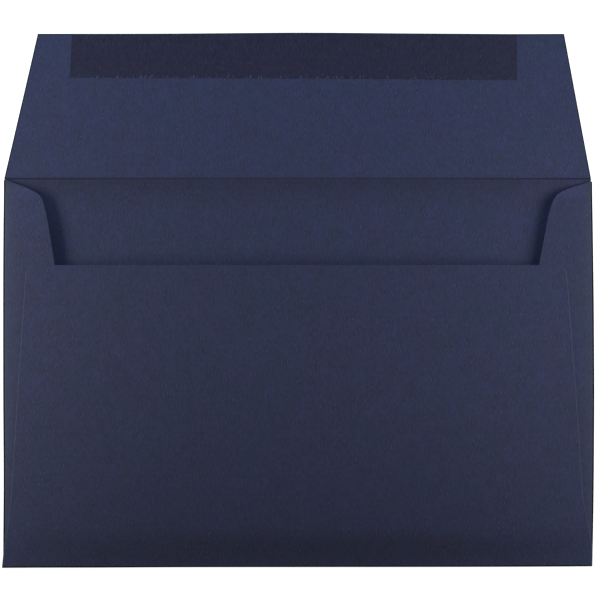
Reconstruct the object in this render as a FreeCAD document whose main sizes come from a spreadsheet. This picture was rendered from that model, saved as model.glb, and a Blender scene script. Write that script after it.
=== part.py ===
import FreeCAD, Part
import os
import re

import Sketcher

# A paper envelope lies open on its back, seal side up, with its seal flap laid flat.
# It is one cut sheet. Two side flaps fold in, the front panel folds up over them and is glued
# to them, and a strip of dried gum runs along the edge of the seal flap.
# +X is to the right, +Y towards the edge of the seal flap and +Z up from the table.
# The origin is on the table, below the centre of the outline.

SIZES = {
    # The finished envelope, from fold to fold, and the flap beyond its top fold
    "envelope_width": 222.25,
    "envelope_height": 146.05,
    "seal_flap_depth": 54.2,
    "seal_flap_taper_left": 12.9,
    "seal_flap_taper_right": 11.0,
    # The sheet and its folds
    "paper_thickness": 0.16,
    "fold_inner_radius": 0.3,
    "corner_relief": 0.5,
    "score_width": 0.6,
    "score_depth": 0.05,
    # The front panel, with the throat open above it. Its sides rise straight from the bottom fold
    # to a foot, spread inwards to a knee and lean from there to the throat
    "throat_depth": 32.6,
    "panel_inset_top_left": 8.8,
    "panel_inset_knee_left": 2.3,
    "panel_inset_top_right": 10.4,
    "panel_inset_knee_right": 4.0,
    "panel_knee_height": 22.0,
    "panel_foot_height": 8.5,
    "panel_corner_radius": 4.0,
    # The side flaps: where the shoulder starts, its corner, and how the inner edge leans
    "shoulder_start_left": 0.5,
    "shoulder_drop_left": 6.2,
    "shoulder_inset_left": 14.3,
    "shoulder_radius_left": 3.2,
    "shoulder_start_right": 2.0,
    "shoulder_drop_right": 5.9,
    "shoulder_inset_right": 14.6,
    "shoulder_radius_right": 8.5,
    "inner_edge_lean_left": 0.188,
    "inner_edge_lean_right": 0.205,
    "side_flap_lower_corner": 30.0,
    "lower_corner_radius": 6.0,
    # The pocket is sprung open: how far it rises, how full its curves are at the sides and at the
    # bottom, and how far below the crease, which pinches it, it reaches its full height
    "pocket_rise": 5.5,
    "side_fullness": 3.5,
    "bottom_fullness": 3.5,
    "crease_fullness": 4.0,
    "crease_reach": 27.3,
    # The glue between side flap and front panel
    "seam_glue_thickness": 0.05,
    "seam_glue_width": 7.0,
    "seam_glue_edge_margin": 1.5,
    "seam_glue_end_margin": 3.0,
    # The dried gum on the seal flap
    "gum_thickness": 0.04,
    "gum_depth_left": 16.2,
    "gum_depth_right": 17.2,
    "gum_margin_left": 12.4,
    "gum_margin_right": 17.0,
}

# Lines and levels that several pieces share, written in the sheet's names
FOLD_OUTER = "(fold_inner_radius + paper_thickness)"
FOLD_LEVEL = "(2 * fold_inner_radius + paper_thickness)"
PANEL_LEVEL = "(2 * fold_inner_radius + 2 * paper_thickness + seam_glue_thickness)"
BOTTOM_FOLD_INNER = "(fold_inner_radius + (paper_thickness + seam_glue_thickness) / 2)"
BOTTOM_FOLD_OUTER = f"({BOTTOM_FOLD_INNER} + paper_thickness)"
BOTTOM_EDGE = "(-(envelope_height + seal_flap_depth) / 2)"
TOP_EDGE = "((envelope_height + seal_flap_depth) / 2)"
CREASE = f"({BOTTOM_EDGE} + envelope_height)"
THROAT = f"({CREASE} - throat_depth)"
BOTTOM_FOLD = f"({BOTTOM_EDGE} + {BOTTOM_FOLD_OUTER})"
LEFT_EDGE = "(-envelope_width / 2)"
RIGHT_EDGE = "(envelope_width / 2)"
LEFT_FOLD = f"({LEFT_EDGE} + {FOLD_OUTER})"
RIGHT_FOLD = f"({RIGHT_EDGE} - {FOLD_OUTER})"
CUTTER_HEIGHT = f"(pocket_rise + 2 * {PANEL_LEVEL})"
FOLD_LEFT_END = f"({LEFT_FOLD} + corner_relief)"
FOLD_RIGHT_END = f"({RIGHT_FOLD} - corner_relief)"
KNEE = f"({BOTTOM_EDGE} + panel_knee_height)"
FOOT = f"({BOTTOM_EDGE} + panel_foot_height)"
GLUE_BOTTOM = f"({BOTTOM_EDGE} + side_flap_lower_corner)"

# How many points each way the curved surface of the pocket passes through
SURFACE_COLUMNS = 23
SURFACE_ROWS = 27

doc = FreeCAD.newDocument("envelope")
sheet = doc.addObject("Spreadsheet::Sheet", "Sizes")


def fill_sheet():
    for row, (alias, value) in enumerate(SIZES.items(), start=1):
        sheet.set(f"A{row}", alias)
        sheet.set(f"B{row}", str(value))
        sheet.setAlias(f"B{row}", alias)
    doc.recompute()


def linked(text):
    """An expression in the sheet's names, ready for a property of an object."""
    return re.sub(r"[a-z][a-z_]+", lambda name: f"Sizes.{name.group()}", text)


def measured(text):
    """The length that an expression in the sheet's names comes to."""
    return float(sheet.evalExpression(linked(text)))


def origin_plane(body, role):
    return next(plane for plane in body.Origin.OriginFeatures if plane.Role == role)


def cut_outline(name, corners, height):
    """A body with the outline that runs straight through corners, padded up to height."""
    body = doc.addObject("PartDesign::Body", name)
    sketch = body.newObject("Sketcher::SketchObject", f"{name}_sketch")
    sketch.AttachmentSupport = [(origin_plane(body, "XY_Plane"), "")]
    sketch.MapMode = "FlatFace"
    points = [FreeCAD.Vector(measured(x), measured(y), 0) for x, y in corners]
    for start, end in zip(points, points[1:] + points[:1]):
        sketch.addGeometry(Part.LineSegment(start, end))
    for side in range(len(points)):
        following = (side + 1) % len(points)
        sketch.addConstraint(Sketcher.Constraint("Coincident", side, 2, following, 1))
    for side, (x, y) in enumerate(corners):
        for axis, expression, value in (("X", x, points[side].x), ("Y", y, points[side].y)):
            constraint = Sketcher.Constraint(f"Distance{axis}", -1, 1, side, 1, value)
            index = sketch.addConstraint(constraint)
            sketch.setExpression(f"Constraints[{index}]", linked(expression))
    pad = body.newObject("PartDesign::Pad", f"{name}_pad")
    pad.Profile = sketch
    pad.setExpression("Length", linked(height))
    doc.recompute()
    return body


def round_corner(body, corner, radius):
    """Rounds the upright edge of an outline that stands at one corner."""
    target = FreeCAD.Vector(measured(corner[0]), measured(corner[1]), 0)
    last = body.Tip
    gaps = {}
    for number, edge in enumerate(last.Shape.Edges, start=1):
        foot, head = edge.Vertexes[0].Point, edge.Vertexes[-1].Point
        if abs(foot.z - head.z) > abs(foot.x - head.x) + abs(foot.y - head.y):
            gaps[f"Edge{number}"] = FreeCAD.Vector(foot.x, foot.y, 0).distanceToPoint(target)
    fillet = body.newObject("PartDesign::Fillet", f"{body.Name}_corner")
    fillet.Base = (last, [min(gaps, key=gaps.get)])
    fillet.setExpression("Radius", linked(radius))
    doc.recompute()


def half_tube(name, inner, start, length, across, outward, along):
    """A fold: the sheet turned half round, with its hollow on the side that the sheet closes."""
    rotation = FreeCAD.Rotation(across, outward, along, "ZXY")
    walls = []
    for suffix, radius in (("outside", f"({inner} + paper_thickness)"), ("inside", inner)):
        cylinder = doc.addObject("Part::Cylinder", f"{name}_{suffix}")
        cylinder.Angle = 180
        cylinder.Placement = FreeCAD.Placement(FreeCAD.Vector(), rotation)
        cylinder.setExpression("Radius", linked(radius))
        cylinder.setExpression("Height", linked(length))
        for axis, place in zip("xyz", start):
            cylinder.setExpression(f"Placement.Base.{axis}", linked(place))
        walls.append(cylinder)
    fold = doc.addObject("Part::Cut", name)
    fold.Base, fold.Tool = walls
    return fold


def pocket_level(x, y):
    """The height of the side flaps' underside, which the front panel follows."""
    throat = measured(THROAT)
    from_middle = min(abs(x) / measured(RIGHT_FOLD), 1)
    below_throat = max(throat - y, 0) / (throat - measured(BOTTOM_FOLD))
    to_full_height = max(1 - (measured(CREASE) - y) / measured("crease_reach"), 0)
    swell_across = 1 - from_middle ** measured("side_fullness")
    swell_from_bottom = 1 - min(below_throat, 1) ** measured("bottom_fullness")
    swell_from_crease = 1 - to_full_height ** measured("crease_fullness")
    swell = swell_across * swell_from_bottom * swell_from_crease
    return measured(FOLD_LEVEL) + measured("pocket_rise") * swell


def curved_layer(name, lift, thickness):
    """A layer of the sprung pocket, from fold to fold, lift above the side flaps' underside."""
    left, right = measured(LEFT_FOLD), measured(RIGHT_FOLD)
    bottom, top = measured(BOTTOM_FOLD), measured(CREASE)
    step_x = (right - left) / (SURFACE_COLUMNS - 1)
    step_y = (top - bottom) / (SURFACE_ROWS - 1)
    heights = []
    for column in range(SURFACE_COLUMNS):
        x = left + column * step_x
        heights.append([pocket_level(x, bottom + row * step_y) for row in range(SURFACE_ROWS)])
    surface = Part.BSplineSurface()
    surface.interpolate(heights, left, step_x, bottom, step_y)
    face = surface.toShape()
    layer = doc.addObject("Part::Feature", name)
    layer.Shape = face.extrude(FreeCAD.Vector(0, 0, measured(thickness)))
    layer.Placement.Base.z = measured(lift)
    return layer


def shared_part(name, layer, outline):
    """What an outline cuts from a layer."""
    piece = doc.addObject("Part::Common", name)
    piece.Base, piece.Tool = layer, outline
    return piece


def back_and_seal_flap():
    """The flat stretch of the sheet, pressed by a score where the seal flap bends."""
    corners = [
        (LEFT_FOLD, BOTTOM_FOLD),
        (RIGHT_FOLD, BOTTOM_FOLD),
        (RIGHT_FOLD, CREASE),
        (f"{RIGHT_EDGE} - seal_flap_taper_right", TOP_EDGE),
        (f"{LEFT_EDGE} + seal_flap_taper_left", TOP_EDGE),
        (LEFT_FOLD, CREASE),
    ]
    flat = cut_outline("flat_stretch", corners, "paper_thickness")
    press = doc.addObject("Part::Cylinder", "score_press")
    press.Placement = FreeCAD.Placement(FreeCAD.Vector(), FreeCAD.Rotation(FreeCAD.Vector(0, 1, 0), 90))
    radius = "((score_width / 2) ^ 2 + score_depth ^ 2) / (2 * score_depth)"
    press.setExpression("Radius", linked(radius))
    press.setExpression("Height", linked("envelope_width"))
    press.setExpression("Placement.Base.x", linked(LEFT_EDGE))
    press.setExpression("Placement.Base.y", linked(CREASE))
    press.setExpression("Placement.Base.z", linked(f"paper_thickness - score_depth + {radius}"))
    scored = doc.addObject("Part::Cut", "back_and_seal_flap")
    scored.Base, scored.Tool = flat, press
    return scored


def side_flap(side, layer):
    """A side flap and its fold, on the left or the right."""
    inward = "+" if side == "left" else "-"
    edge = LEFT_EDGE if side == "left" else RIGHT_EDGE
    fold_line = LEFT_FOLD if side == "left" else RIGHT_FOLD
    shoulder = (f"{edge} {inward} shoulder_inset_{side}", f"{CREASE} - shoulder_drop_{side}")
    straight = f"(envelope_height - shoulder_drop_{side} - side_flap_lower_corner)"
    widest = f"(shoulder_inset_{side} + inner_edge_lean_{side} * {straight})"
    lower_corner = (f"{edge} {inward} {widest}", f"{BOTTOM_EDGE} + side_flap_lower_corner")
    top = f"({CREASE} - shoulder_start_{side})"
    bottom = f"({BOTTOM_FOLD} + corner_relief)"
    corners = [(edge, top), (fold_line, top), shoulder, lower_corner, (fold_line, bottom), (edge, bottom)]
    outline = cut_outline(f"{side}_flap_outline", corners, CUTTER_HEIGHT)
    round_corner(outline, shoulder, f"shoulder_radius_{side}")
    round_corner(outline, lower_corner, "lower_corner_radius")
    flap = shared_part(f"{side}_flap", layer, outline)

    outward = -1 if side == "left" else 1
    fold = half_tube(
        f"{side}_fold", "fold_inner_radius", (fold_line, bottom, FOLD_OUTER), f"{top} - {bottom}",
        FreeCAD.Vector(0, 0, outward), FreeCAD.Vector(outward, 0, 0), FreeCAD.Vector(0, 1, 0))
    return [flap, fold]


def front_panel(layer):
    """The front panel, folded up from the bottom edge over the side flaps."""
    top_left = (f"{LEFT_EDGE} + panel_inset_top_left", THROAT)
    top_right = (f"{RIGHT_EDGE} - panel_inset_top_right", THROAT)
    corners = [
        (FOLD_LEFT_END, BOTTOM_EDGE),
        (FOLD_RIGHT_END, BOTTOM_EDGE),
        (FOLD_RIGHT_END, FOOT),
        (f"{RIGHT_EDGE} - panel_inset_knee_right", KNEE),
        top_right,
        top_left,
        (f"{LEFT_EDGE} + panel_inset_knee_left", KNEE),
        (FOLD_LEFT_END, FOOT),
    ]
    outline = cut_outline("panel_outline", corners, CUTTER_HEIGHT)
    round_corner(outline, top_left, "panel_corner_radius")
    round_corner(outline, top_right, "panel_corner_radius")
    panel = shared_part("front_panel", layer, outline)

    fold = half_tube(
        "bottom_fold", BOTTOM_FOLD_INNER, (FOLD_LEFT_END, BOTTOM_FOLD, BOTTOM_FOLD_OUTER),
        f"{FOLD_RIGHT_END} - {FOLD_LEFT_END}",
        FreeCAD.Vector(0, 0, 1), FreeCAD.Vector(0, -1, 0), FreeCAD.Vector(1, 0, 0))
    return [panel, fold]


def envelope_sheet():
    """The whole folded sheet, one solid."""
    side_layer = curved_layer("side_flap_layer", "0", "paper_thickness")
    panel_layer = curved_layer("panel_layer", f"{PANEL_LEVEL} - {FOLD_LEVEL}", "paper_thickness")
    folded = doc.addObject("Part::MultiFuse", "envelope_sheet")
    folded.Shapes = [
        back_and_seal_flap(), *side_flap("left", side_layer), *side_flap("right", side_layer),
        *front_panel(panel_layer),
    ]
    folded.Refine = True
    return folded


def seam_glue(side, layer):
    """The band of glue that holds the front panel to a side flap."""
    inward = "+" if side == "left" else "-"
    edge = LEFT_EDGE if side == "left" else RIGHT_EDGE
    top = f"({THROAT} - seam_glue_end_margin)"
    lean = f"(panel_inset_top_{side} - panel_inset_knee_{side}) / ({THROAT} - {KNEE})"
    outer = f"panel_inset_knee_{side} + seam_glue_edge_margin"
    at_top = f"({outer} + {lean} * ({top} - {KNEE}))"
    at_bottom = f"({outer} + {lean} * ({GLUE_BOTTOM} - {KNEE}))"
    corners = [
        (f"{edge} {inward} {at_bottom}", GLUE_BOTTOM),
        (f"{edge} {inward} ({at_bottom} + seam_glue_width)", GLUE_BOTTOM),
        (f"{edge} {inward} ({at_top} + seam_glue_width)", top),
        (f"{edge} {inward} {at_top}", top),
    ]
    outline = cut_outline(f"{side}_glue_outline", corners, CUTTER_HEIGHT)
    return shared_part(f"{side}_seam_glue", layer, outline)


def seal_gum_strip():
    """The coat of dried gum along the edge of the seal flap."""
    left = f"{LEFT_EDGE} + seal_flap_taper_left + gum_margin_left"
    right = f"{RIGHT_EDGE} - seal_flap_taper_right - gum_margin_right"
    corners = [
        (left, TOP_EDGE),
        (left, f"{TOP_EDGE} - gum_depth_left"),
        (right, f"{TOP_EDGE} - gum_depth_right"),
        (right, TOP_EDGE),
    ]
    strip = cut_outline("seal_gum_strip", corners, "gum_thickness")
    strip.setExpression("Placement.Base.z", linked("paper_thickness"))
    return strip


def save(pieces):
    """Writes each piece, once every object of the document has come out whole."""
    for thing in doc.Objects:
        if {"Invalid", "Error"} & set(thing.State):
            raise RuntimeError(f"{thing.Name} failed: {thing.State}")
    for piece in pieces:
        if piece.Shape.isNull() or not piece.Shape.isValid() or len(piece.Shape.Solids) != 1:
            raise RuntimeError(f"{piece.Label} is not one valid solid")
    os.makedirs("parts", exist_ok=True)
    for piece in pieces:
        piece.Shape.exportStep(f"parts/{piece.Label}.step")
        print(piece.Label, round(piece.Shape.Volume, 3), piece.Shape.BoundBox)


fill_sheet()
glue_layer = curved_layer("glue_layer", "paper_thickness", "seam_glue_thickness")
pieces = [envelope_sheet(), seam_glue("left", glue_layer), seam_glue("right", glue_layer), seal_gum_strip()]
for piece in pieces:
    piece.Label = piece.Name
doc.recompute()
save(pieces)
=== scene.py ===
import math

import bmesh
import bpy
import numpy as np
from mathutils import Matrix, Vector, noise


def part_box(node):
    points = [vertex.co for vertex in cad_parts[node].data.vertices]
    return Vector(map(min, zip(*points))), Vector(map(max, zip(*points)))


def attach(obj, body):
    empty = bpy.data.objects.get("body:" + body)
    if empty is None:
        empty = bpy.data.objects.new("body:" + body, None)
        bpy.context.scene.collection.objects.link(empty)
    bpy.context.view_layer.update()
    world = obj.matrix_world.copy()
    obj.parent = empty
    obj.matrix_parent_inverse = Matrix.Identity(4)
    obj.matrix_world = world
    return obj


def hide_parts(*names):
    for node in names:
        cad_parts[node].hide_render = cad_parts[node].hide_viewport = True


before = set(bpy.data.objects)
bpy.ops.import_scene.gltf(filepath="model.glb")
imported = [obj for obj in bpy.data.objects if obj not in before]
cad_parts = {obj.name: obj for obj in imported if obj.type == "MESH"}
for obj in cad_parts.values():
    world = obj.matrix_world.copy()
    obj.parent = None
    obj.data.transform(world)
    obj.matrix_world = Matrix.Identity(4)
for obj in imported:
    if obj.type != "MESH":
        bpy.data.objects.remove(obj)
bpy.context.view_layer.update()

scene = bpy.context.scene

# The folded sheet. One piece of navy paper with fine fibres, cut to an outline, scored and folded:
# two side flaps turned in, the front panel turned up over them, the seal flap laid open.
# Lengths are in millimetres until a point is made.
MM = 0.001
PAPER = 0.16
SEAM_FILM = 0.05
FOLD_RADIUS = 0.3 + PAPER / 2
BOTTOM_FOLD_RADIUS = FOLD_RADIUS + (PAPER + SEAM_FILM) / 2
FOLD_STEPS = 10
sheet_low, sheet_high = (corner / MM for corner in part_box("envelope_sheet"))
BODY_HEIGHT = 146.05
CREASE_Y = sheet_low.y + BODY_HEIGHT
FLAP_DEPTH = sheet_high.y - CREASE_Y
THROAT_DROP = 32.6
BOTTOM_FOLD_Y = sheet_low.y + BOTTOM_FOLD_RADIUS + PAPER / 2
BOTTOM_DROP = CREASE_Y - BOTTOM_FOLD_Y
CORNER_OUT = {"left": 0.85, "right": 0.45}
FLAP_TAPER = {"left": 13.05, "right": 11.15}
FLAP_SET_IN = {"left": 0.15, "right": 0.42}
SIGN = {"left": -1, "right": 1}
HALF_WIDTH = sheet_high.x
HALF_FOLD = HALF_WIDTH - FOLD_RADIUS - PAPER / 2

# Inner edges of the side flaps: inset from the side fold, drop below the crease, and how far from
# each corner its rounding starts. Below the throat they run on out of sight.
SIDE_FLAP_EDGE = {
    "left": [(0.05, 0.5, 0), (9.4, 3.9, 4), (13.9, 6.6, 2.2), (16.1, 14.5, 6), (19.1, 32.6, 5),
             (34.4, 116.0, 5), (0.05, 144.6, 0)],
    "right": [(0.05, 1.2, 0), (9.2, 4.0, 3), (13.7, 6.4, 2.6), (16.0, 12.2, 4), (18.6, 25.0, 6),
              (36.6, 116.0, 5), (0.05, 144.6, 0)],
}
# Side edges of the front panel: inset from the side fold, height above the bottom fold, rounding.
PANEL_EDGE = {
    "left": [(-0.85, 0.0, 0), (-0.4, 5.0, 3), (1.9, 20.0, 6), (8.3, 112.9, 4.2), (14.0, 112.9, 0)],
    "right": [(-0.45, 0.0, 0), (-0.45, 6.5, 3), (3.6, 25.0, 6), (9.9, 112.9, 4.2), (15.6, 112.9, 0)],
}
POCKET_RISE = 5.5
SIDE_FULLNESS = 3.5
BOTTOM_FULLNESS = 3.5
CREASE_FULLNESS = 4.0
CREASE_REACH = 27.3
CREASE_RIDGE = 1.4
RIDGE_REACH = 12.2
RIDGE_HOLLOW = 1.5
SCORE_DEPTH = 0.1
SCORE_HALF_WIDTH = 0.55
SCORE_DROP = 0.15
RIPPLE = 0.12
FOLD_SPRING = {"left": 0.75, "right": 1.05}
SPRING_REACH = 4.5
SHOULDER_LIFT = 1.0
SHOULDER_REACH = 20.0


def rounded_line(corners, steps=8):
    """Points of a line through corners, each given with how far from it its rounding starts."""
    points = [corners[0][:2]]
    for before, corner, after in zip(corners, corners[1:], corners[2:]):
        middle = Vector(corner[:2])
        start = middle + (Vector(before[:2]) - middle).normalized() * corner[2]
        end = middle + (Vector(after[:2]) - middle).normalized() * corner[2]
        for step in range(steps + 1):
            share = step / steps
            point = start * (1 - share) ** 2 + middle * 2 * share * (1 - share) + end * share ** 2
            points.append(tuple(point))
    points.append(corners[-1][:2])
    return np.array(points)


side_flap_line = {side: rounded_line(corners) for side, corners in SIDE_FLAP_EDGE.items()}
panel_line = {side: rounded_line(corners) for side, corners in PANEL_EDGE.items()}


def side_bow(side, drop):
    """How far a side fold stands in from its straight line, since the sheet was fed by hand and its
    folds bow. Depths are in millimetres, places and reaches in shares of the height."""
    below = min(max(drop, 0) / BODY_HEIGHT, 1)
    if side == "left":
        return 0.36 * max(1 - below / 0.31, 0) ** 2 + 0.2 * math.exp(-((below - 0.77) / 0.15) ** 2)
    belly = 0.22 * math.exp(-((below - 0.55) / 0.2) ** 2)
    return 0.66 * max(1 - below / 0.36, 0) ** 1.5 + 0.55 * max((below - 0.72) / 0.28, 0) ** 2 - belly


def fold_x(side, y):
    return SIGN[side] * (HALF_FOLD - side_bow(side, CREASE_Y - y))


def flap_x(side, y):
    """The cut side edge of the seal flap, which starts about flush with the side fold's outside."""
    up = max(y - CREASE_Y, 0) / FLAP_DEPTH
    base = HALF_WIDTH - FLAP_SET_IN[side] - side_bow(side, 0)
    tip = HALF_WIDTH - FLAP_TAPER[side]
    return SIGN[side] * (base + (tip - base) * up)


def wave(x, y):
    """How far up a place is moved by the uneven cut of the free edge and the skew of the bottom
    fold. Heights, places across and widths are in millimetres, and both fade out at the crease."""
    if y > CREASE_Y:
        swell = 0.27 + 0.42 * math.exp(-((x - 2) / 38) ** 2) - 0.1 * math.exp(-((x - 83) / 15) ** 2)
        return swell * ((y - CREASE_Y) / FLAP_DEPTH) ** 2
    skew = -0.17 + 0.0009 * x + 0.2 * (x / HALF_WIDTH) ** 5 - 0.1 * math.exp(-((x + 76) / 22) ** 2)
    return skew * ((CREASE_Y - y) / BOTTOM_DROP) ** 4


def ridge(y):
    """The opened crease stands a little proud, and the flap and the throat fall away from it."""
    if y > CREASE_Y:
        return CREASE_RIDGE * (1 - (y - CREASE_Y) / FLAP_DEPTH) ** RIDGE_HOLLOW
    return CREASE_RIDGE * max(1 - (CREASE_Y - y) / RIDGE_REACH, 0) ** 2


def score(y):
    """The pressed line of the crease."""
    return SCORE_DEPTH * max(1 - abs(y - CREASE_Y + SCORE_DROP) / SCORE_HALF_WIDTH, 0)


def eased(share):
    """0 to 1 without a kink at either end."""
    share = min(max(share, 0), 1)
    return share * share * (3 - 2 * share)


def pocket_level(x, y):
    """Height of the side flaps' underside in the sprung pocket."""
    drop = CREASE_Y - y
    from_middle = min(abs(x) / HALF_FOLD, 1)
    below_throat = min(max(drop - THROAT_DROP, 0) / (BOTTOM_DROP - THROAT_DROP), 1)
    to_full_height = max(1 - drop / CREASE_REACH, 0)
    swell = (1 - from_middle ** SIDE_FULLNESS) * (1 - below_throat ** BOTTOM_FULLNESS)
    swell *= 1 - to_full_height ** CREASE_FULLNESS
    ripple = RIPPLE * noise.noise(Vector((x / 38, y / 30, 4.0))) * min(swell * 3, 1)
    inside = max(HALF_FOLD - abs(x), 0)
    spring = FOLD_SPRING["left" if x < 0 else "right"] * (1 - math.exp(-inside / SPRING_REACH))
    spring *= 1 + SHOULDER_LIFT * math.exp(-(drop / SHOULDER_REACH) ** 2)
    spring *= eased(drop / 8) * eased((BOTTOM_DROP - drop) / 14)
    return PAPER + 2 * (FOLD_RADIUS - PAPER / 2) + POCKET_RISE * swell + spring + ripple + ridge(y)


def back_point(x, y):
    return (x, y, PAPER / 2 + ridge(y) - score(y))


def side_flap_point(x, y):
    return (x, y, pocket_level(x, y) + PAPER / 2)


def panel_point(x, y):
    return (x, y, pocket_level(x, y) + PAPER * 1.5 + SEAM_FILM)


EDGE_BAND = 0.6
# How far round the folds their outside is painted as a dark rim of shade, and over how wide an angle it fades
SIDE_RIM_END = 108
BOTTOM_RIM_END = 90
RIM_FADE = 18
# Lighter paper along the side folds, partly rubbed wear and partly painted highlight where the
# folds catch the side light: its first two lines of points, then beside them
FOLD_WEAR_AND_HIGHLIGHT = (0.7, 1.0)
WEAR_AND_HIGHLIGHT_BESIDE = 0.6
WEAR_AND_HIGHLIGHT_REACH = 2.2


def add_grid(build, rows):
    """Faces between rows of points."""
    made = [[build.verts.new(Vector((x, y + wave(x, y), z)) * MM) for x, y, z in row] for row in rows]
    for lower, upper in zip(made, made[1:]):
        for column in range(len(lower) - 1):
            build.faces.new((lower[column], lower[column + 1], upper[column + 1], upper[column]))
    return made


def mark_fold(build, vert, angle, end):
    """Marks the outside of a fold for its painted rim of shade, for an angle up from level, as far as an end
    angle in degrees.
    """
    vert[build.verts.layers.float["rim"]] = min(max((math.radians(end) - angle) / math.radians(RIM_FADE), 0), 1)


def mark_edge(build, made, layer, edges):
    """Marks what lies near a grid's cut edges: each edge's strength on it, 0 past the band."""
    lines = {"top": made[-1], "left": [row[0] for row in made], "right": [row[-1] for row in made]}
    cuts = [(np.array([vert.co for vert in lines[edge]]), strength) for edge, strength in edges.items()]
    for row in made:
        for vert in row:
            gaps = [np.sqrt(((cut - np.array(vert.co)) ** 2).sum(axis=1).min()) / MM for cut, _ in cuts]
            marks = [strength * (1 - gap / EDGE_BAND) for gap, (_, strength) in zip(gaps, cuts)]
            vert[build.verts.layers.float[layer]] = max(0, *marks)


def spread(low, high, step):
    """Even places from low to high, about step apart, ends included."""
    count = max(round((high - low) / step), 1)
    return [low + (high - low) * place / count for place in range(count + 1)]


panel_left_end = fold_x("left", BOTTOM_FOLD_Y) - CORNER_OUT["left"]
panel_right_end = fold_x("right", BOTTOM_FOLD_Y) + CORNER_OUT["right"]
bottom_columns = [panel_left_end, panel_left_end + EDGE_BAND / 2]
bottom_columns += spread(panel_left_end + EDGE_BAND, panel_right_end - EDGE_BAND, 2.4)
bottom_columns += [panel_right_end - EDGE_BAND / 2, panel_right_end]
shares = [(x - panel_left_end) / (panel_right_end - panel_left_end) for x in bottom_columns]

side_drops = {side: [drop for _, drop in line] for side, line in side_flap_line.items()}
body_drops = sorted({round(drop, 4) for drops in side_drops.values() for drop in drops}
                    | {round(drop, 4) for drop in spread(1.0, 13.0, 0.6)}
                    | {round(drop, 4) for drop in spread(13.0, 34.0, 1.4)}
                    | {round(drop, 4) for drop in spread(34.0, BOTTOM_DROP - 1.0, 2.4)}
                    | {0.0, 0.2, 0.4, 0.8, 1.85, round(BOTTOM_DROP, 4)})
body_drops = [drop for drop in body_drops if drop <= BOTTOM_DROP + 0.001]
body_rows = [CREASE_Y - drop for drop in reversed(body_drops)]
flap_rows = [CREASE_Y + rise for rise in (0.2, 0.4, 0.9)]
flap_rows += [CREASE_Y + rise for rise in spread(2.4, FLAP_DEPTH - EDGE_BAND, 2.4)]
flap_rows += [CREASE_Y + FLAP_DEPTH - EDGE_BAND / 2, CREASE_Y + FLAP_DEPTH]

build = bmesh.new()
for name in ("cut", "fold", "rim", "score"):
    build.verts.layers.float.new(name)

back_grid = [[back_point(x, BOTTOM_FOLD_Y) for x in bottom_columns]]
for y in body_rows[1:] + flap_rows:
    left, right = (flap_x(side, y) if y > CREASE_Y - side_flap_line[side][0][1] + 0.1 else fold_x(side, y)
                   for side in ("left", "right"))
    back_grid.append([back_point(left + (right - left) * share, y) for share in shares])
made = add_grid(build, back_grid)
# The seal flap's cut edges get the same painted rim of shade, as a thin dark outline.
mark_edge(build, made[len(body_rows):], "rim", {"top": 1, "left": 1, "right": 1})
# Painted shade in the crease: the score line is darker, more so towards its ends.
score_layer = build.verts.layers.float["score"]
for row, y in zip(made, body_rows + flap_rows):
    for vert in row:
        vert[score_layer] = score(y) / SCORE_DEPTH * (0.4 + 0.6 * (vert.co.x / MM / HALF_WIDTH) ** 2)

for side in ("left", "right"):
    line = side_flap_line[side]
    rows = [y for y in body_rows if line[0][1] - 0.001 <= CREASE_Y - y <= line[-1][1] + 0.001]
    fold_grid, flap_grid = [], []
    for y in rows:
        hinge = fold_x(side, y)
        centre_z = PAPER / 2 + ridge(y) - score(y) + FOLD_RADIUS
        turn = [math.pi * (step / FOLD_STEPS - 0.5) for step in range(FOLD_STEPS + 1)]
        fold_grid.append([
            (hinge + SIGN[side] * FOLD_RADIUS * math.cos(angle), y, centre_z + FOLD_RADIUS * math.sin(angle))
            for angle in turn
        ])
        width = float(np.interp(CREASE_Y - y, line[:, 1], line[:, 0]))
        band = min(EDGE_BAND, width / 5)
        places = [0.0, band / 2, band] + spread(2 * band, width - band, max((width - 3 * band) / 12, 0.001))
        places += [width - band / 2, width]
        flap_grid.append([side_flap_point(hinge - SIGN[side] * place, y) for place in places])
        flap_grid[-1][0] = fold_grid[-1][-1]
    for row in add_grid(build, fold_grid):
        for vert, angle in zip(row, turn):
            mark_fold(build, vert, angle, SIDE_RIM_END)
        # Lighter along the fold: partly rubbed wear, partly painted highlight.
        row[-1][build.verts.layers.float["fold"]] = FOLD_WEAR_AND_HIGHLIGHT[0]
    for row in add_grid(build, flap_grid):
        mark_fold(build, row[0], turn[-1], SIDE_RIM_END)
        for vert in row[2:]:
            from_fold = (vert.co - row[0].co).length / MM
            vert[build.verts.layers.float["fold"]] = WEAR_AND_HIGHLIGHT_BESIDE * math.exp(from_fold / -WEAR_AND_HIGHLIGHT_REACH)
        for vert, amount in zip(row, FOLD_WEAR_AND_HIGHLIGHT):
            vert[build.verts.layers.float["fold"]] = amount

turn = [math.pi * (step / FOLD_STEPS - 0.5) for step in range(FOLD_STEPS + 1)]
bottom_grid = []
for angle in turn:
    y = BOTTOM_FOLD_Y - BOTTOM_FOLD_RADIUS * math.cos(angle)
    z = PAPER / 2 + BOTTOM_FOLD_RADIUS * (1 + math.sin(angle))
    bottom_grid.append([(x, y, z) for x in bottom_columns])
for row, angle in zip(add_grid(build, bottom_grid), turn):
    for vert in row:
        mark_fold(build, vert, angle, BOTTOM_RIM_END)

panel_heights = sorted({round(height, 4) for line in panel_line.values() for _, height in line}
                       | {round(height, 4) for height in spread(0.8, 108.0, 2.4)} | {112.3, 112.6})
panel_grid = []
for height in panel_heights:
    y = BOTTOM_FOLD_Y + height
    left, right = (fold_x(side, y) - SIGN[side] * float(np.interp(
        height, panel_line[side][:-1, 1], panel_line[side][:-1, 0])) for side in ("left", "right"))
    panel_grid.append([panel_point(left + (right - left) * share, y) for share in shares])
panel_grid[0] = bottom_grid[-1]
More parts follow.
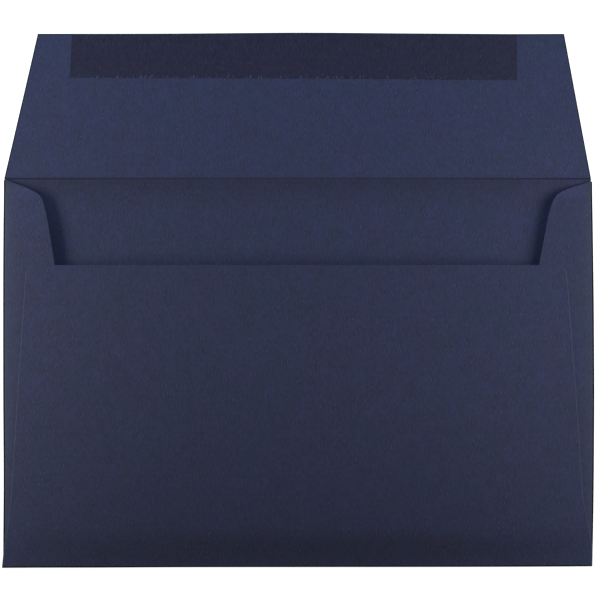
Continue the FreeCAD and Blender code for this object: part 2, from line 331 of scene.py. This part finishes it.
# A lighter band along the front panel's cut edges: partly the raw fibre of the cut, partly painted highlight
# where the cut edge catches the light.
mark_edge(build, add_grid(build, panel_grid), "cut", {"top": 0.35, "left": 1, "right": 1})

bmesh.ops.remove_doubles(build, verts=build.verts, dist=0.004 * MM)
bmesh.ops.dissolve_degenerate(build, edges=build.edges, dist=0.002 * MM)
bmesh.ops.recalc_face_normals(build, faces=build.faces)


def object_from(build, name, thickness, offset):
    """An object of even thickness from an open sheet of faces, smooth but for its cut edges."""
    mesh = bpy.data.meshes.new(name)
    build.to_mesh(mesh)
    build.free()
    piece = bpy.data.objects.new(name, mesh)
    scene.collection.objects.link(piece)
    shell = piece.modifiers.new("thickness", "SOLIDIFY")
    shell.thickness = thickness * MM
    shell.offset = offset
    evaluated = piece.evaluated_get(bpy.context.evaluated_depsgraph_get())
    piece.data = bpy.data.meshes.new_from_object(evaluated)
    piece.data.name = name
    piece.modifiers.clear()
    piece.data.shade_smooth()
    piece.data.set_sharp_from_angle(angle=math.radians(40))
    return piece


folded_sheet = object_from(build, "folded_sheet", PAPER, 0)


class Nodes:
    """Short calls to set up the nodes of a material or of the world."""

    def __init__(self, owner):
        owner.use_nodes = True
        self.owner = owner
        self.tree = owner.node_tree
        self.tree.nodes.clear()

    def add(self, kind, inputs=None, **settings):
        node = self.tree.nodes.new(kind)
        for key, value in settings.items():
            setattr(node, key, value)
        for key, value in (inputs or {}).items():
            if isinstance(value, bpy.types.NodeSocket):
                self.tree.links.new(value, node.inputs[key])
            else:
                node.inputs[key].default_value = value
        return node

    def math(self, operation, first, second=0.0, clamp=False):
        node = self.add("ShaderNodeMath", {0: first, 1: second}, operation=operation, use_clamp=clamp)
        return node.outputs[0]

    def mix(self, share, first, second, blend="MIX"):
        node = self.add("ShaderNodeMix", data_type="RGBA", blend_type=blend)
        for index, value in ((0, share), (6, first), (7, second)):
            if isinstance(value, bpy.types.NodeSocket):
                self.tree.links.new(value, node.inputs[index])
            else:
                node.inputs[index].default_value = value
        return node.outputs[2]

    def band(self, value, low, high):
        """0 below low, 1 above high, even in between."""
        node = self.add("ShaderNodeMapRange", {0: value, 1: low, 2: high, 3: 0.0, 4: 1.0})
        return node.outputs[0]

    def attribute(self, name):
        return self.add("ShaderNodeAttribute", attribute_name=name).outputs["Fac"]

    def surface(self, inputs):
        shader = self.add("ShaderNodeBsdfPrincipled", inputs)
        output = self.add("ShaderNodeOutputMaterial")
        self.tree.links.new(shader.outputs[0], output.inputs[0])
        return self.owner


def stretched(nodes, across, along):
    """Object coordinates with that many units to the millimetre across and along the sheet."""
    place = nodes.add("ShaderNodeTexCoord").outputs["Object"]
    scale = (across / MM, along / MM, across / MM)
    return nodes.add("ShaderNodeMapping", {"Vector": place, "Scale": scale}).outputs[0]


def specks(nodes, per_mm, radius, kept):
    """Small round flecks in a random few of the cells of a loose net."""
    place = stretched(nodes, per_mm, per_mm * 0.8)
    cells = nodes.add("ShaderNodeTexVoronoi", {"Vector": place, "Scale": 1.0}, voronoi_dimensions="2D")
    near = nodes.math("LESS_THAN", cells.outputs["Distance"], radius)
    lot = nodes.add("ShaderNodeSeparateColor", {0: cells.outputs["Color"]}).outputs[0]
    return nodes.math("MULTIPLY", near, nodes.math("LESS_THAN", lot, kept))


def fibres(nodes, cell, width, length, lean, tilt, shift):
    """Short single fibres, one to a cell of a loose net of tall cells, each leaning its own way: how
    far one covers a place, and how far the wider ring of painted shade round it does."""
    cell_size = (cell, cell * 2, 0)
    place = stretched(nodes, 1 / cell, 0.5 / cell)
    place = nodes.add("ShaderNodeVectorMath", {0: place, 1: (shift, shift, 0)}, operation="ADD").outputs[0]
    drift = nodes.add("ShaderNodeTexNoise", {"Vector": place, "Scale": 1.3, "Detail": 1.0}).outputs["Color"]
    drift = nodes.add("ShaderNodeVectorMath", {0: drift, 1: (0.5, 0.5, 0.5)},
                      operation="SUBTRACT").outputs[0]
    drift = nodes.add("ShaderNodeVectorMath", {0: drift, "Scale": 0.3}, operation="SCALE").outputs[0]
    place = nodes.add("ShaderNodeVectorMath", {0: place, 1: drift}, operation="ADD").outputs[0]
    cells = nodes.add("ShaderNodeTexVoronoi", {"Vector": place, "Scale": 1.0, "Randomness": 1.0},
                      voronoi_dimensions="2D")
    lots = nodes.add("ShaderNodeSeparateColor", {0: cells.outputs["Color"]}).outputs
    offset = nodes.add("ShaderNodeVectorMath", {0: place, 1: cells.outputs["Position"]},
                       operation="SUBTRACT").outputs[0]
    offset = nodes.add("ShaderNodeVectorMath", {0: offset, 1: cell_size}, operation="MULTIPLY").outputs[0]
    angle = nodes.math("MULTIPLY", nodes.math("SUBTRACT", lots[0], 0.5), 2 * math.radians(lean))
    angle = nodes.math("ADD", angle, math.radians(tilt))
    turned = nodes.add("ShaderNodeVectorRotate", {"Vector": offset, "Angle": angle},
                       rotation_type="Z_AXIS").outputs[0]
    strength = nodes.band(lots[1], 0.35, 1.0)
    shares = []
    for across, along in ((width, length), (width * 3, length * 1.3)):
        scaled = nodes.add("ShaderNodeVectorMath", {0: turned, 1: (2 / across, 2 / along, 0.0)},
                           operation="MULTIPLY").outputs[0]
        reach = nodes.add("ShaderNodeVectorMath", {0: scaled}, operation="LENGTH").outputs["Value"]
        shares.append(nodes.math("MULTIPLY", nodes.band(reach, 1.0, 0.45), strength))
    return shares


def paper_relief(nodes):
    """Fibres that lie on the sheet, the painted shade beside them, and the finer felt, all from 0 to 1."""
    long_ones, long_fibre_shade = fibres(nodes, 1.15, 0.27, 2.6, 26, 6, 0.0)
    short_ones, short_fibre_shade = fibres(nodes, 0.9, 0.25, 1.5, 50, 0, 17.3)
    felt = nodes.add("ShaderNodeTexNoise", {
        "Vector": stretched(nodes, 2.6, 0.6), "Scale": 1.0, "Detail": 1.0, "Distortion": 0.4}).outputs[0]
    strands = nodes.math("MAXIMUM", long_ones, nodes.math("MULTIPLY", short_ones, 0.6))
    fibre_shade = nodes.math("MAXIMUM", long_fibre_shade, nodes.math("MULTIPLY", short_fibre_shade, 0.8))
    return strands, nodes.math("SUBTRACT", fibre_shade, strands, clamp=True), nodes.band(felt, 0.3, 0.7)


def felted(nodes, colour, felt, depth):
    """The colour, lighter on the felt's ridges and darker between them by that share."""
    value = nodes.math("ADD", nodes.math("MULTIPLY", felt, 2 * depth), 1 - depth)
    return nodes.add("ShaderNodeHueSaturation", {"Color": colour, "Value": value}).outputs[0]


def navy_paper():
    nodes = Nodes(bpy.data.materials.new("navy_paper"))
    strands, fibre_shade, felt = paper_relief(nodes)
    clouds = nodes.add("ShaderNodeTexNoise", {
        "Vector": stretched(nodes, 0.07, 0.06), "Scale": 1.0, "Detail": 2.0}).outputs[0]
    patches = nodes.add("ShaderNodeTexNoise", {
        "Vector": stretched(nodes, 0.19, 0.15), "Scale": 1.0, "Detail": 3.0}).outputs[0]
    colour = nodes.mix(nodes.band(clouds, 0.38, 0.62),
                       (0.0287, 0.0376, 0.0862, 1), (0.0327, 0.0348, 0.0868, 1))
    colour = nodes.mix(nodes.band(patches, 0.36, 0.64), colour, (0.0322, 0.0378, 0.0995, 1))
    colour = felted(nodes, colour, felt, 0.12)
    # Painted shade: a dark ring beside each fibre.
    colour = nodes.mix(fibre_shade, colour, (0.0120, 0.0140, 0.0390, 1))
    colour = nodes.mix(nodes.math("MULTIPLY", strands, 0.9), colour, (0.0700, 0.0810, 0.1560, 1))
    colour = nodes.mix(specks(nodes, 0.12, 0.017, 0.05), colour, (0.0950, 0.1080, 0.1650, 1))
    # Lighter along the side folds: partly rubbed wear, partly painted highlight where they catch the light.
    colour = nodes.mix(nodes.math("MULTIPLY", nodes.attribute("fold"), 0.52), colour,
                       (0.0620, 0.0740, 0.1200, 1))
    # Lighter along the cut edges: partly raw fibre, partly painted highlight.
    colour = nodes.mix(nodes.math("MULTIPLY", nodes.band(nodes.attribute("cut"), 0.3, 0.8), 0.5), colour,
                       (0.0680, 0.0800, 0.1400, 1))
    # Painted shade: a near-black rim on the outside of the folds and along the seal flap's cut edges.
    colour = nodes.mix(nodes.math("MULTIPLY", nodes.band(nodes.attribute("rim"), 0.2, 0.5), 0.92), colour,
                       (0.0030, 0.0040, 0.0120, 1))
    # Painted shade along the crease's score line.
    colour = nodes.mix(nodes.attribute("score"), colour, (0.0110, 0.0140, 0.0400, 1))
    height = nodes.math("ADD", strands, nodes.math("MULTIPLY", felt, 0.3))
    bump = nodes.add("ShaderNodeBump", {"Strength": 0.6, "Distance": 0.06 * MM, "Height": height})
    return nodes.surface({
        "Base Color": colour, "Roughness": 0.95, "Specular IOR Level": 0.04, "Normal": bump.outputs[0]})


folded_sheet.data.materials.append(navy_paper())
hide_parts("envelope_sheet")
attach(folded_sheet, "root")

# The gum on the seal flap. Wet gum was rolled along the free edge and dried to a thin, darker,
# slightly glossy coat. Its ends are straight, the left one a little aslant, and its inner edge is
# ragged, with light flecks, where the roller's film broke up.
GUM_FILM = 0.04
GUM_DEPTH = {"left": 16.35, "right": 17.3}
GUM_MARGIN = {"left": 12.1, "right": 17.7}
GUM_LEAN = {"left": 0.75, "right": 0.1}
GUM_RAGGED = 0.34
GUM_FROM_EDGE = 0.03
GUM_LIFT = 0.004
FLECKED_SHARE = 0.08
gum_left = -HALF_WIDTH + FLAP_TAPER["left"] + GUM_MARGIN["left"]
gum_right = HALF_WIDTH - FLAP_TAPER["right"] - GUM_MARGIN["right"]

build = bmesh.new()
build.verts.layers.float.new("gum_edge")
gum_columns = spread(gum_left, gum_right, 0.55)
gum_shares = [0.0, 0.02, 0.04, FLECKED_SHARE] + spread(0.1, 0.98, 0.08) + [1.0]
gum_grid = []
for share in gum_shares:
    row = []
    for column in gum_columns:
        along = (column - gum_left) / (gum_right - gum_left)
        x = column + (GUM_LEAN["left"] * (1 - along) - GUM_LEAN["right"] * along) * share
        depth = GUM_DEPTH["left"] + (GUM_DEPTH["right"] - GUM_DEPTH["left"]) * along
        ragged = noise.noise(Vector((x / 0.9, 7.0, 2.0))) + 0.6 * noise.noise(Vector((x / 3.5, 1.0, 9.0)))
        depth += GUM_RAGGED * ragged
        y = CREASE_Y + FLAP_DEPTH - GUM_FROM_EDGE - (depth - GUM_FROM_EDGE) * (1 - share)
        row.append((x, y, PAPER + ridge(y) + GUM_LIFT))
    gum_grid.append(row)
made = add_grid(build, gum_grid)
gum_layer = build.verts.layers.float["gum_edge"]
for row, share in zip(made, gum_shares):
    for vert in row:
        vert[gum_layer] = max(1 - share / FLECKED_SHARE, 0)
bmesh.ops.recalc_face_normals(build, faces=build.faces)
for face in build.faces:
    if face.normal.z < 0:
        face.normal_flip()
gum_coat = object_from(build, "gum_coat", GUM_FILM, 1)


def dried_gum():
    nodes = Nodes(bpy.data.materials.new("dried_gum"))
    strands, fibre_shade, felt = paper_relief(nodes)
    clouds = nodes.add("ShaderNodeTexNoise", {
        "Vector": stretched(nodes, 0.12, 0.3), "Scale": 1.0, "Detail": 3.0}).outputs[0]
    colour = nodes.mix(nodes.band(clouds, 0.35, 0.65),
                       (0.0155, 0.0167, 0.0412, 1), (0.0182, 0.0172, 0.0432, 1))
    shown = nodes.band(strands, 0.5, 1.0)
    colour = felted(nodes, colour, felt, 0.24)
    # Painted shade: a dark ring beside each fibre that shows through the gum.
    colour = nodes.mix(nodes.math("MULTIPLY", fibre_shade, 0.6), colour, (0.0080, 0.0085, 0.0240, 1))
    colour = nodes.mix(nodes.math("MULTIPLY", shown, 0.6), colour, (0.0640, 0.0690, 0.1250, 1))
    clumps = nodes.add("ShaderNodeTexNoise", {
        "Vector": stretched(nodes, 0.45, 0.1), "Scale": 1.0, "Detail": 2.0}).outputs[0]
    flecks = fibres(nodes, 0.9, 0.32, 1.5, 32, 20, 5.0)[0]
    flecks = nodes.math("MULTIPLY", flecks, nodes.attribute("gum_edge"))
    flecks = nodes.math("MULTIPLY", flecks, nodes.band(clumps, 0.40, 0.52))
    colour = nodes.mix(flecks, colour, (0.1600, 0.1750, 0.2500, 1))
    height = nodes.math("ADD", shown, nodes.math("MULTIPLY", felt, 0.4))
    bump = nodes.add("ShaderNodeBump", {"Strength": 0.35, "Distance": 0.04 * MM, "Height": height})
    return nodes.surface({
        "Base Color": colour, "Roughness": 0.5, "Specular IOR Level": 0.08, "Normal": bump.outputs[0]})


gum_coat.data.materials.append(dried_gum())
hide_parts("seal_gum_strip")
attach(gum_coat, "root")

# The seam glue. A band of adhesive down each side, between the side flap and the front panel that
# lies over it, pressed to a thin film. It is what holds the pocket together, and none of it shows.
GLUE_WIDTH = 7.0
GLUE_MARGIN = 1.5
GLUE_LOW = 29.4
GLUE_HIGH = 109.9


def seam_glue():
    nodes = Nodes(bpy.data.materials.new("seam_glue"))
    streaks = nodes.add("ShaderNodeTexNoise", {
        "Vector": stretched(nodes, 0.9, 0.15), "Scale": 1.0, "Detail": 3.0}).outputs[0]
    colour = nodes.mix(nodes.band(streaks, 0.35, 0.65), (0.42, 0.38, 0.28, 1), (0.34, 0.30, 0.22, 1))
    bump = nodes.add("ShaderNodeBump", {"Strength": 0.4, "Distance": 0.02 * MM, "Height": streaks})
    return nodes.surface({"Base Color": colour, "Roughness": 0.35, "Normal": bump.outputs[0]})


glue_finish = seam_glue()
for side in ("left", "right"):
    build = bmesh.new()
    glue_grid = []
    for height in spread(GLUE_LOW, GLUE_HIGH, 2.0):
        y = BOTTOM_FOLD_Y + height
        inset = float(np.interp(height, panel_line[side][:-1, 1], panel_line[side][:-1, 0])) + GLUE_MARGIN
        row = []
        for place in spread(0.0, GLUE_WIDTH, 1.0):
            x = fold_x(side, y) - SIGN[side] * (inset + place)
            row.append((x, y, pocket_level(x, y) + PAPER + SEAM_FILM / 2))
        glue_grid.append(row)
    add_grid(build, glue_grid)
    bmesh.ops.recalc_face_normals(build, faces=build.faces)
    glue = object_from(build, f"{side}_glue_band", SEAM_FILM * 0.8, 0)
    glue.data.materials.append(glue_finish)
    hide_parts(f"{side}_seam_glue")
    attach(glue, "root")

# The floor and the air around it. A white table carries the envelope's soft shadow, and the same
# white stands behind it in every direction. The lift makes the table as white as the air.
FLOOR_SIZE = 6.0
FLOOR_COLOUR = (0.33, 0.38, 0.44, 1)
FLOOR_LIFT = 0.93
SKY_LIGHT = 0.045

floor_mesh = bpy.data.meshes.new("floor")
build = bmesh.new()
bmesh.ops.create_grid(build, x_segments=1, y_segments=1, size=FLOOR_SIZE / 2)
build.to_mesh(floor_mesh)
build.free()
floor = bpy.data.objects.new("floor", floor_mesh)
floor.location.z = -0.02 * MM
scene.collection.objects.link(floor)


def seen_directly(nodes):
    """1 for what the camera, a reflection or a clear material sees, 0 for light on its way."""
    path = nodes.add("ShaderNodeLightPath")
    seen = nodes.math("ADD", path.outputs["Is Camera Ray"], path.outputs["Is Glossy Ray"], clamp=True)
    return nodes.math("ADD", seen, path.outputs["Is Transmission Ray"], clamp=True)


nodes = Nodes(bpy.data.materials.new("white_table"))
matt = nodes.add("ShaderNodeBsdfDiffuse", {"Color": FLOOR_COLOUR})
lift = nodes.add("ShaderNodeEmission", {
    "Color": (1, 1, 1, 1), "Strength": nodes.math("MULTIPLY", seen_directly(nodes), FLOOR_LIFT)})
both = nodes.add("ShaderNodeAddShader", {0: matt.outputs[0], 1: lift.outputs[0]})
nodes.add("ShaderNodeOutputMaterial", {0: both.outputs[0]})
floor.data.materials.append(nodes.owner)

scene.world = bpy.data.worlds.new("studio")
sky = Nodes(scene.world)
strength = sky.math("ADD", SKY_LIGHT, sky.math("MULTIPLY", seen_directly(sky), 1 - SKY_LIGHT))
background = sky.add("ShaderNodeBackground", {"Color": (1, 1, 1, 1), "Strength": strength})
sky.add("ShaderNodeOutputWorld", {0: background.outputs[0]})

# The lamps. Three soft boxes stand low round the table, so that the paper's folds and the pocket's
# swell show: two warm white ones close beside the envelope, and a long cool one beyond the seal flap.
LAMPS = {
    "far_lamp": ((-0.12, 0.425, 0.139), (0.90, 0.04), 3.25, (0.62, 0.90, 1.0)),
    "left_lamp": ((-0.268, 0.014, 0.130), (0.20, 0.075), 0.66, (1.0, 0.88, 0.57)),
    "right_lamp": ((0.236, 0.016, 0.162), (0.20, 0.130), 0.615, (1.0, 0.95, 0.73)),
}
for name, (place, size, power, tint) in LAMPS.items():
    lamp = bpy.data.lights.new(name, "AREA")
    lamp.shape = "RECTANGLE"
    lamp.size, lamp.size_y = size
    lamp.energy = power
    lamp.color = tint
    stand = bpy.data.objects.new(name, lamp)
    stand.location = place
    stand.rotation_euler = (-Vector(place)).to_track_quat("-Z", "Y").to_euler()
    stand.visible_camera = False
    scene.collection.objects.link(stand)

# The camera looks straight down from far off, so that nothing leans.
CAMERA_HEIGHT = 2.2
FRAME_WIDTH = 225.8
VIEW_CENTRE = (0.6, 0.2)
camera_data = bpy.data.cameras.new("camera")
camera_data.sensor_width = 36
camera_data.lens = camera_data.sensor_width * CAMERA_HEIGHT / (FRAME_WIDTH * MM)
camera = bpy.data.objects.new("camera", camera_data)
camera.location = (VIEW_CENTRE[0] * MM, VIEW_CENTRE[1] * MM, CAMERA_HEIGHT)
scene.collection.objects.link(camera)
scene.camera = camera
scene.view_settings.view_transform = "Standard"
